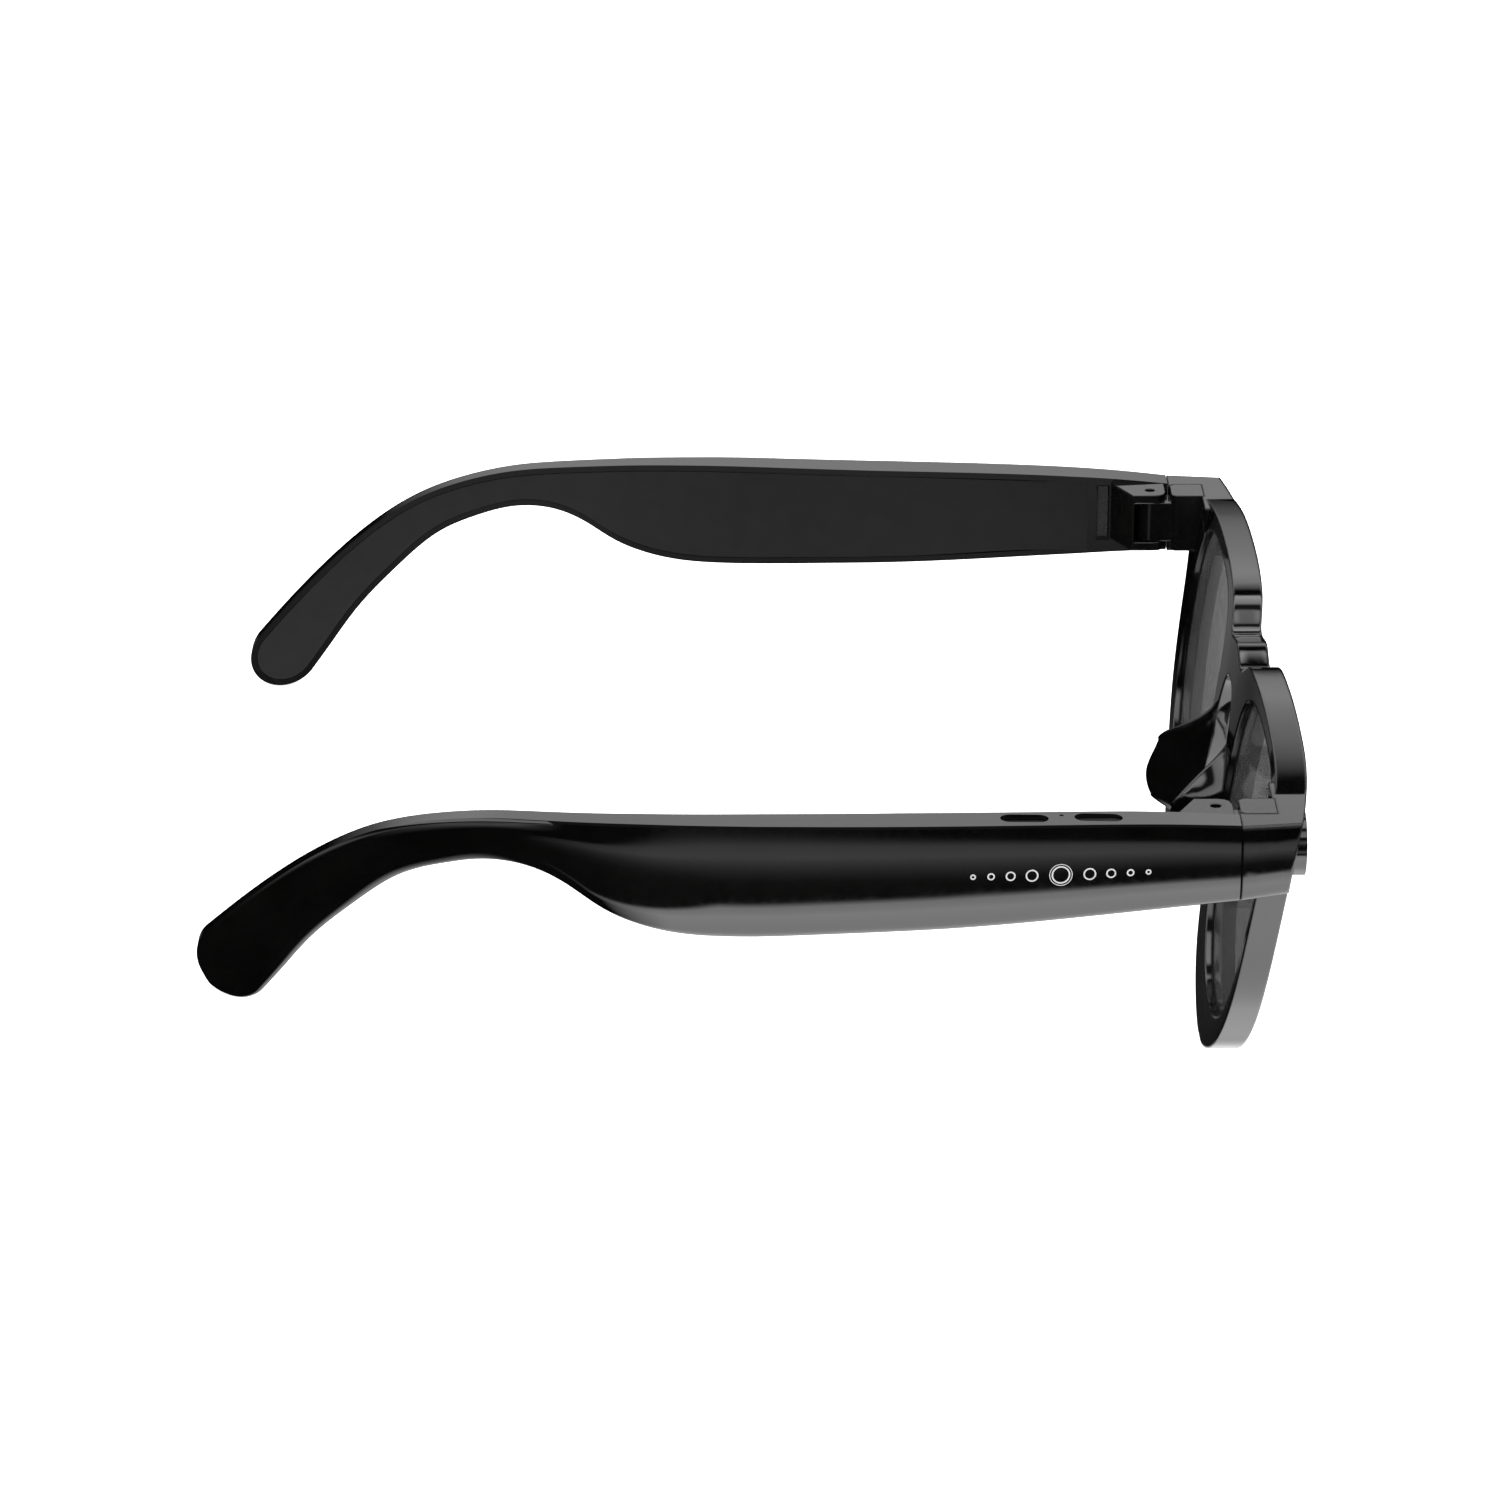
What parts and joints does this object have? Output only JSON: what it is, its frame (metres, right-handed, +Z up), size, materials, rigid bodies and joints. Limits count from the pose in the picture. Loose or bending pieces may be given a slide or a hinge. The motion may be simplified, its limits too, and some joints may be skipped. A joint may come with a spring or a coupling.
{
  "type": "smart glasses",
  "caption": "Full-rim smart glasses with wide temples that fold on hinge pins, holding batteries, boards, speakers, push buttons and a camera in the front.",
  "frame": {"origin": "on the table under the middle of the whole, standing on the rims and the temple tips", "axes": "+X to the wearer's left, front faces -Y, temples run towards +Y, +Z up"},
  "size_m": [0.1562, 0.1464, 0.0502],
  "materials": {
    "frame_plastic": "polished black moulding",
    "shell_plastic": "polished black moulding",
    "cover_plastic": "satin dark grey",
    "lens_tint": "grey tint, anti-reflection",
    "window_glass": "dark clear",
    "bezel_metal": "gloss black",
    "module_black": "matt black",
    "lamp_white": "diffuse white",
    "hinge_metal": "satin black",
    "pin_steel": "turned",
    "contact_plate": "black plate",
    "mark_grey": "light grey inlay",
    "button_black": "black",
    "switch_body": "moulded",
    "can_metal": "pressed can",
    "board_resin": "solder mask",
    "battery_foil": "foil pouch",
    "speaker_black": "moulded",
    "mesh_steel": "fine mesh"
  },
  "bodies": {
    "front": {"camera_bezel": "bezel_metal", "camera_module": "module_black", "camera_window": "window_glass", "front_frame": "frame_plastic", "hinge_block_left": "hinge_metal", "hinge_block_right": "hinge_metal", "lens_left": "lens_tint", "lens_right": "lens_tint", "light_bezel": "bezel_metal", "light_module": "lamp_white", "light_window": "window_glass"},
    "right_temple": {"battery_right": "battery_foil", "charge_contacts_right": "contact_plate", "circuit_board_right": "board_resin", "hinge_arm_right": "hinge_metal", "hinge_pin_right": "pin_steel", "microphone": "can_metal", "speaker_mesh_right": "mesh_steel", "speaker_right": "speaker_black", "switch_front": "switch_body", "switch_rear": "switch_body", "temple_cover_right": "cover_plastic", "temple_shell_right": "shell_plastic", "tip_core_right": "pin_steel", "touch_marks": "mark_grey"},
    "left_temple": {"battery_left": "battery_foil", "charge_contacts_left": "contact_plate", "circuit_board_left": "board_resin", "hinge_arm_left": "hinge_metal", "hinge_pin_left": "pin_steel", "speaker_left": "speaker_black", "speaker_mesh_left": "mesh_steel", "temple_cover_left": "cover_plastic", "temple_shell_left": "shell_plastic", "tip_core_left": "pin_steel"},
    "front_button": {"button_front": "button_black"},
    "rear_button": {"button_rear": "button_black"}
  },
  "joints": [
    {"name": "right_fold", "type": "hinge", "parent": "front", "child": "right_temple", "pos_m": [-0.0659, -0.06047, 0.04269], "axis": [0, -0.1385, -0.9904], "range_deg": [0, 77]},
    {"name": "left_fold", "type": "hinge", "parent": "front", "child": "left_temple", "pos_m": [0.0659, -0.06047, 0.04269], "axis": [0, 0.1385, 0.9904], "range_deg": [0, 88]},
    {"name": "front_press", "type": "slide", "parent": "right_temple", "child": "front_button", "axis": [0, -0.1385, -0.9904], "range_m": [0, 0.00035], "stiffness_N_per_m": 800, "springref_m": -0.0001},
    {"name": "rear_press", "type": "slide", "parent": "right_temple", "child": "rear_button", "axis": [0, -0.1385, -0.9904], "range_m": [0, 0.00035], "stiffness_N_per_m": 800, "springref_m": -0.0001}
  ]
}
